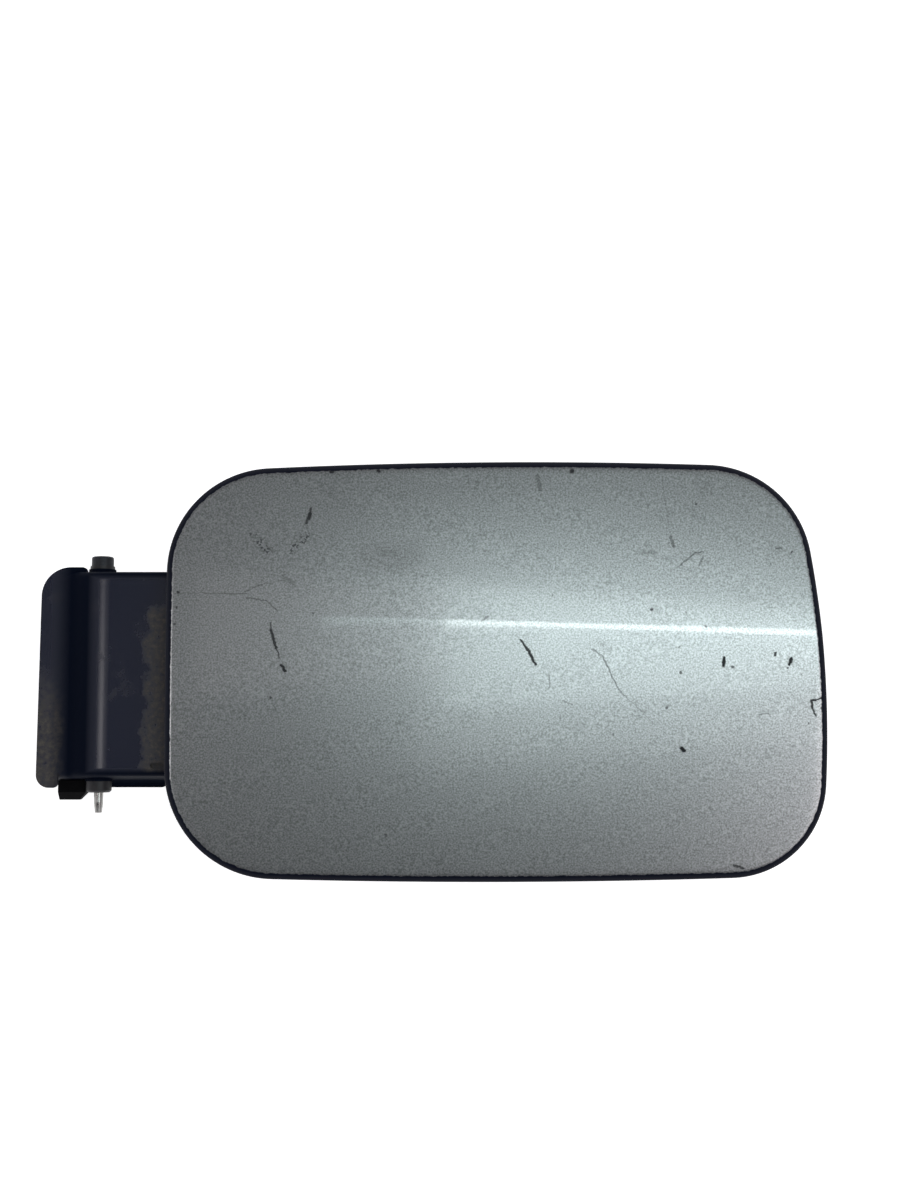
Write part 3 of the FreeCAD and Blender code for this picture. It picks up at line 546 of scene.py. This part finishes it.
mark_zero = Vector((pin_place.x + mark_zero_reach, pin_place.y))
# Shares of a mark's width, from its middle line: where it is still whole, and where it has ended
mark_core, mark_end = 0.35, 0.7
ragged_mm = 1.2
wander = add_node(silver, "ShaderNodeTexNoise", {"Vector": place, "Scale": per_metre(1.4), "Detail": 3.0})
wander_middle = add_node(silver, "ShaderNodeVectorMath", {0: wander.outputs["Color"], 1: (0.5, 0.5, 0.5)},
                         operation="SUBTRACT").outputs[0]
wander_mm = add_node(silver, "ShaderNodeVectorMath", {0: wander_middle, 1: (ragged_mm, ragged_mm, 0.0)},
                     operation="MULTIPLY").outputs[0]
ragged = add_node(silver, "ShaderNodeVectorMath", {0: millimetres, 1: wander_mm}, operation="ADD").outputs[0]


def from_mark(point):
    """Offset of the surface, in millimetres with ragged edges, from a point on the face."""
    spot = mark_zero + Vector(point)
    return add_node(silver, "ShaderNodeVectorMath", {0: ragged, 1: (spot.x, spot.y, 0.0)},
                    operation="SUBTRACT").outputs[0]


def add_mark(marked, distance, width, strength):
    """Adds a mark to the marked amount: whole near its middle line, and fading to nothing at its edge."""
    mark = add_node(silver, "ShaderNodeMapRange",
                    {"Value": distance, "From Min": width * mark_core, "From Max": width * mark_end,
                     "To Min": strength, "To Max": 0.0}).outputs["Result"]
    return add_node(silver, "ShaderNodeMath", {0: mark, 1: marked}, operation="MAXIMUM").outputs[0]


marked = 0.0
for start, end, width, strength in face_marks:
    reach = Vector(end) - Vector(start)
    way = tuple(reach.normalized().to_3d())
    off = from_mark(start)
    run = add_node(silver, "ShaderNodeVectorMath", {0: off, 1: way}, operation="DOT_PRODUCT").outputs["Value"]
    held = add_node(silver, "ShaderNodeClamp", {"Value": run, "Max": reach.length}).outputs[0]
    foot = add_node(silver, "ShaderNodeVectorMath", {0: way, "Scale": held}, operation="SCALE").outputs[0]
    away = add_node(silver, "ShaderNodeVectorMath", {0: off, 1: foot}, operation="DISTANCE").outputs["Value"]
    marked = add_mark(marked, away, width, strength)
for spot, width, strength in face_pits:
    away = add_node(silver, "ShaderNodeVectorMath", {0: from_mark(spot)}, operation="LENGTH").outputs["Value"]
    marked = add_mark(marked, away, width, strength)

# Ring scuff: two arcs of the lower half of a ring, rubbed into the paint as rows of fine specks
ring_centre, ring_radius, ring_width, ring_strength = (-65.5, 44.6), 8.4, 2.6, 0.75
ring_off = from_mark(ring_centre)
ring_reach = add_node(silver, "ShaderNodeVectorMath", {0: ring_off}, operation="LENGTH").outputs["Value"]
ring_away = add_node(silver, "ShaderNodeMath", {0: ring_reach, 1: ring_radius},
                     operation="SUBTRACT").outputs[0]
ring_near = add_node(silver, "ShaderNodeMath", {0: ring_away}, operation="ABSOLUTE").outputs[0]
ring = add_mark(0.0, ring_near, ring_width, ring_strength)
ring_x, ring_y = add_node(silver, "ShaderNodeSeparateXYZ", {0: ring_off}).outputs[:2]
ring_side = add_node(silver, "ShaderNodeMath", {0: ring_x}, operation="ABSOLUTE").outputs[0]
ring_half = add_node(silver, "ShaderNodeMapRange", {"Value": ring_y, "From Min": 0.5, "From Max": -3.0})
ring_gap = add_node(silver, "ShaderNodeMapRange", {"Value": ring_side, "From Min": 1.0, "From Max": 3.5})
specks = add_node(silver, "ShaderNodeTexNoise", {"Vector": place, "Scale": per_metre(0.9), "Detail": 2.0})
speckled = add_node(silver, "ShaderNodeMapRange",
                    {"Value": specks.outputs["Fac"], "From Min": 0.5, "From Max": 0.6})
for share in (ring_half, ring_gap, speckled):
    ring = add_node(silver, "ShaderNodeMath", {0: ring, 1: share.outputs["Result"]},
                    operation="MULTIPLY").outputs[0]
marked = add_node(silver, "ShaderNodeMath", {0: ring, 1: marked}, operation="MAXIMUM").outputs[0]

# Rim: the silver stops a little short of the edge, with a slightly uneven border
border_mm = 0.9
border_noise = add_node(silver, "ShaderNodeMath", {0: wander.outputs["Fac"], 1: -0.5},
                        operation="ADD").outputs[0]
border = add_node(silver, "ShaderNodeMath", {0: border_noise, 1: border_mm, 2: edge},
                  operation="MULTIPLY_ADD").outputs[0]
bare_rim = add_node(silver, "ShaderNodeMapRange",
                    {"Value": border, "From Min": 1.75, "From Max": 1.95,
                     "To Min": 1.0, "To Max": 0.0}).outputs["Result"]
scuffed = add_node(silver, "ShaderNodeMix",
                   {"Factor": marked, first_colour: flake_colour, second_colour: linear("0f1215")},
                   data_type="RGBA").outputs[mixed_colour]
painted = add_node(silver, "ShaderNodeMix",
                   {"Factor": bare_rim, first_colour: scuffed, second_colour: linear("060c1c")},
                   data_type="RGBA")
dark = add_node(silver, "ShaderNodeMath", {0: marked, 1: bare_rim}, operation="MAXIMUM").outputs[0]
metal = add_node(silver, "ShaderNodeMath", {0: 1.0, 1: dark}, operation="SUBTRACT")
roughness = add_node(silver, "ShaderNodeMapRange",
                     {"Value": clouds.outputs["Fac"], "To Min": 0.28, "To Max": 0.33})
lacquer = add_node(silver, "ShaderNodeMapRange", {"Value": dark, "To Min": 1.0, "To Max": 0.05})
gloss = add_node(silver, "ShaderNodeMapRange", {"Value": dark, "To Min": 0.5, "To Max": 0.12})
links = silver.node_tree.links
links.new(lacquer.outputs["Result"], shader.inputs["Coat Weight"])
links.new(gloss.outputs["Result"], shader.inputs["Specular IOR Level"])
links.new(painted.outputs[mixed_colour], shader.inputs["Base Color"])
links.new(metal.outputs[0], shader.inputs["Metallic"])
links.new(roughness.outputs["Result"], shader.inputs["Roughness"])
mesh.materials.append(silver)


# Hinge arm: one pressed steel sheet, folded into a gooseneck channel and screwed to the inner panel by its
# spade foot. Its back is rolled round the pin as a barrel and flares out into a raised front flange, and a
# lip runs along its lower wall. It is sprayed navy like the inner panel.
dress("hinge_arm", navy)


# Hinge pin: cold-drawn steel, headed at one end and turned to a taper at the other, left bare.
# It stays with the filler housing of the car, and the flap turns on it.

# Turned steel: bright, with soft rings round the axis. The head has kept the dark scale of its heading. Real
# turning marks are too fine for the render, so they are drawn about 3 mm apart.
pin_steel, shader = new_material("turned_steel")
shader.inputs["Metallic"].default_value = 1.0
place = add_node(pin_steel, "ShaderNodeTexCoord").outputs["Object"]
ring_spacing = 3.14
# A wave texture turns through 20 radians in each unit of length, so it has this many rings there
rings_per_unit = 20.0 / (2 * math.pi)
rings = add_node(pin_steel, "ShaderNodeTexWave",
                 {"Vector": place, "Scale": per_metre(ring_spacing) / rings_per_unit, "Distortion": 1.5},
                 bands_direction="Y").outputs["Fac"]
scale_noise = add_node(pin_steel, "ShaderNodeTexNoise",
                       {"Vector": place, "Scale": per_metre(1.0), "Detail": 5.0}).outputs["Fac"]
bright = add_node(pin_steel, "ShaderNodeMix",
                  {"Factor": rings, first_colour: linear("9d9c99"), second_colour: linear("afafac")},
                  data_type="RGBA").outputs[mixed_colour]
scaled = add_node(pin_steel, "ShaderNodeMix",
                  {"Factor": scale_noise, first_colour: linear("2d2f32"), second_colour: linear("484a4e")},
                  data_type="RGBA").outputs[mixed_colour]
lengthwise = add_node(pin_steel, "ShaderNodeSeparateXYZ", {0: place}).outputs["Y"]
head_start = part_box("upper_bush")[1].y
on_head = add_node(pin_steel, "ShaderNodeMath", {0: lengthwise, 1: head_start},
                   operation="GREATER_THAN").outputs[0]
colour = add_node(pin_steel, "ShaderNodeMix",
                  {"Factor": on_head, first_colour: bright, second_colour: scaled}, data_type="RGBA")
ground = add_node(pin_steel, "ShaderNodeMapRange", {"Value": rings, "To Min": 0.27, "To Max": 0.34})
roughness = add_node(pin_steel, "ShaderNodeMix",
                     {"Factor": on_head, "A": ground.outputs["Result"], "B": 0.55})
pin_steel.node_tree.links.new(colour.outputs[mixed_colour], shader.inputs["Base Color"])
pin_steel.node_tree.links.new(roughness.outputs[0], shader.inputs["Roughness"])
dress("hinge_pin", pin_steel)


# Bushes: two moulded sleeves of glass-filled nylon, one with a flange and one with a collar.
# They are pushed into the walls of the arm, so that it turns freely on the pin.

# Glass-filled nylon: near black with a satin skin and a faint grain from the fibres, which is drawn wider
# than the real one so that it shows.
nylon, shader = new_material("glass_filled_nylon")
mottle(nylon, shader, 0.6, 4.0, ("0e0e12", "1b1b20"), (0.4, 0.6))
dress("upper_bush", nylon)
dress("lower_bush", nylon)


# Torsion spring: hard-drawn steel wire, coiled round the pin inside the channel of the arm.
# It pushes the flap open.

# Oiled spring wire: a dark grey metal, clouded by a film of oil.
spring_wire, shader = new_material("oiled_spring_wire")
shader.inputs["Metallic"].default_value = 1.0
mottle(spring_wire, shader, 1.5, 4.0, ("4b4a48", "7b7a77"), (0.25, 0.45))
dress("torsion_spring", spring_wire)


# Lock eye: a folded steel bracket at the free end, with the window that the latch catches.
# It is riveted to the inner panel and sprayed navy like it.
dress("lock_eye", navy)


# Screws and rivets: flange screws hold the arm's foot to the weld nuts, and two rivets hold the lock eye to
# the inner panel. All are steel, zinc-plated like the nuts.
dress("arm_screws", zinc)
dress("lock_eye_rivets", zinc)


# Cap holder: a clip moulded in black polypropylene and pushed into the inner panel by its barbs.
# The filler cap hangs between its fins during refuelling.

# Moulded polypropylene: black with a spark-eroded grain, drawn wider than the real one so that it shows.
polypropylene, shader = new_material("moulded_polypropylene")
grain = mottle(polypropylene, shader, 0.7, 3.0, ("1b1b1c", "2a2a2b"), (0.45, 0.6))
bump = add_node(polypropylene, "ShaderNodeBump", {"Height": grain, "Strength": 0.2, "Distance": 0.0001})
polypropylene.node_tree.links.new(bump.outputs["Normal"], shader.inputs["Normal"])
dress("cap_holder", polypropylene)


# Bumpers and stop buffer: soft rubber buttons pushed into the inner panel, and a rubber block over the lip of
# the arm, which land on the filler housing.

# Moulded rubber: deep black and dull, with a dusty bloom.
rubber, shader = new_material("moulded_rubber")
shader.inputs["Specular IOR Level"].default_value = 0.08
mottle(rubber, shader, 2.0, 6.0, ("020203", "09090b"), (0.6, 0.85))
for node in ("bumper_upper", "bumper_lower", "stop_buffer"):
    dress(node, rubber)


# Stage: a pale floor that the flap lies on, under a long soft lamp with a skirt, a core and a tail, a wide
# lamp past the free end, a small one near the hinge and a gridded one beyond it. The sky is dim overhead and
# bright round the horizon.

floor_size = 6.0
floor_corners = [(x * floor_size / 2, y * floor_size / 2, 0.0)
                 for x, y in ((-1, -1), (1, -1), (1, 1), (-1, 1))]
floor_mesh = bpy.data.meshes.new("floor")
floor_mesh.from_pydata(floor_corners, [], [(0, 1, 2, 3)])
floor = bpy.data.objects.new("floor", floor_mesh)
bpy.context.collection.objects.link(floor)

# White paper sweep: it reads as white to the camera and to bright metal, and keeps the flap's shadow.
paper_glow = 0.85
paper, shader = new_material("white_paper_sweep")
shader.inputs["Base Color"].default_value = linear("e8e8e8")
shader.inputs["Roughness"].default_value = 0.9
light_path = add_node(paper, "ShaderNodeLightPath")
seen = 0.0
for ray in ("Is Camera Ray", "Is Glossy Ray", "Is Transmission Ray"):
    seen = add_node(paper, "ShaderNodeMath", {0: light_path.outputs[ray], 1: seen},
                    operation="MAXIMUM").outputs[0]
lift = add_node(paper, "ShaderNodeMath", {0: seen, 1: paper_glow}, operation="MULTIPLY")
shader.inputs["Emission Color"].default_value = linear("ffffff")
paper.node_tree.links.new(lift.outputs[0], shader.inputs["Emission Strength"])
floor_mesh.materials.append(paper)

world = bpy.data.worlds.new("studio")
bpy.context.scene.world = world
world.use_nodes = True
sky = world.node_tree.nodes["Background"]
direction = add_node(world, "ShaderNodeTexCoord").outputs["Generated"]
brightest_way = (0.15, 0.35, 1.0)
height = add_node(world, "ShaderNodeVectorMath", {0: direction, 1: brightest_way},
                  operation="DOT_PRODUCT").outputs["Value"]
overhead = add_node(world, "ShaderNodeMapRange",
                    {"Value": height, "From Min": 0.45, "From Max": 1.08, "To Min": 0.02, "To Max": 0.245})
upward = add_node(world, "ShaderNodeSeparateXYZ", {0: direction}).outputs["Z"]
horizon = add_node(world, "ShaderNodeMapRange",
                   {"Value": upward, "From Min": 0.82, "From Max": 0.5, "To Max": 0.8},
                   interpolation_type="SMOOTHSTEP")
level = add_node(world, "ShaderNodeMath", {0: overhead.outputs["Result"], 1: horizon.outputs["Result"]},
                 operation="ADD")
sky.inputs["Color"].default_value = linear("f9f6fa")
world.node_tree.links.new(level.outputs[0], sky.inputs["Strength"])


def add_lamp(name, place_mm, aim_mm, size_mm, watts, code):
    """A rectangular soft lamp at a place, aimed at another, its length along X."""
    data = bpy.data.lights.new(name, "AREA")
    data.shape = "RECTANGLE"
    data.size, data.size_y = (s / 1000 for s in size_mm)
    data.energy = watts
    data.color = linear(code)[:3]
    lamp = bpy.data.objects.new(name, data)
    bpy.context.collection.objects.link(lamp)
    lamp.location = Vector(place_mm) / 1000
    lamp.rotation_euler = (Vector(aim_mm) - Vector(place_mm)).to_track_quat("-Z", "Y").to_euler()
    return lamp


# Lamps that look straight down: name, place, length and width, power and colour
lamp_aim_level = 26.0
hanging_lamps = (
    ("long_lamp", (252.0, 48.0, 826.0), (480.0, 170.0), 0.43, "ecffff"),
    ("long_lamp_skirt", (252.0, 25.0, 828.0), (520.0, 230.0), 0.27, "f4ffff"),
    ("long_lamp_core", (252.0, 66.0, 824.0), (480.0, 34.0), 0.5, "f2ffff"),
    ("long_lamp_tail", (-37.0, 66.0, 824.0), (100.0, 20.0), 0.016, "e6ffff"),
    ("free_lamp", (520.0, -150.0, 826.0), (400.0, 300.0), 0.85, "fff4f8"),
    ("near_lamp", (-85.0, 60.0, 826.0), (210.0, 130.0), 0.04, "fffafc"),
)
for name, place_mm, size_mm, watts, code in hanging_lamps:
    add_lamp(name, place_mm, (place_mm[0], place_mm[1], lamp_aim_level), size_mm, watts, code)
hinge_lamp_place, hinge_lamp_aim = (-440.0, 0.0, 720.0), (-104.0, 0.0, 20.0)
hinge_lamp = add_lamp("hinge_lamp", hinge_lamp_place, hinge_lamp_aim, (700.0, 180.0), 0.019, "fffafc")
hinge_lamp.data.spread = math.radians(14.0)

# Camera: nearly straight above the flap, as the photo was taken, on a normal lens
camera_reach = 108.5
camera_back, camera_height = 21.98, 498.1
camera_aim_ahead = 21.6
camera_place = Vector((pin_place.x + camera_reach, pin_place.y - camera_back, skin_high.z + camera_height))
camera_aim = Vector((pin_place.x + camera_reach, pin_place.y + camera_aim_ahead, skin_high.z))
camera_data = bpy.data.cameras.new("camera")
camera_data.lens = 50.0
camera_data.sensor_width = 36.0
camera = bpy.data.objects.new("camera", camera_data)
bpy.context.collection.objects.link(camera)
camera.location = camera_place / 1000
camera.rotation_euler = (camera_aim - camera_place).to_track_quat("-Z", "Y").to_euler()
bpy.context.scene.camera = camera
bpy.context.scene.view_settings.view_transform = "Standard"
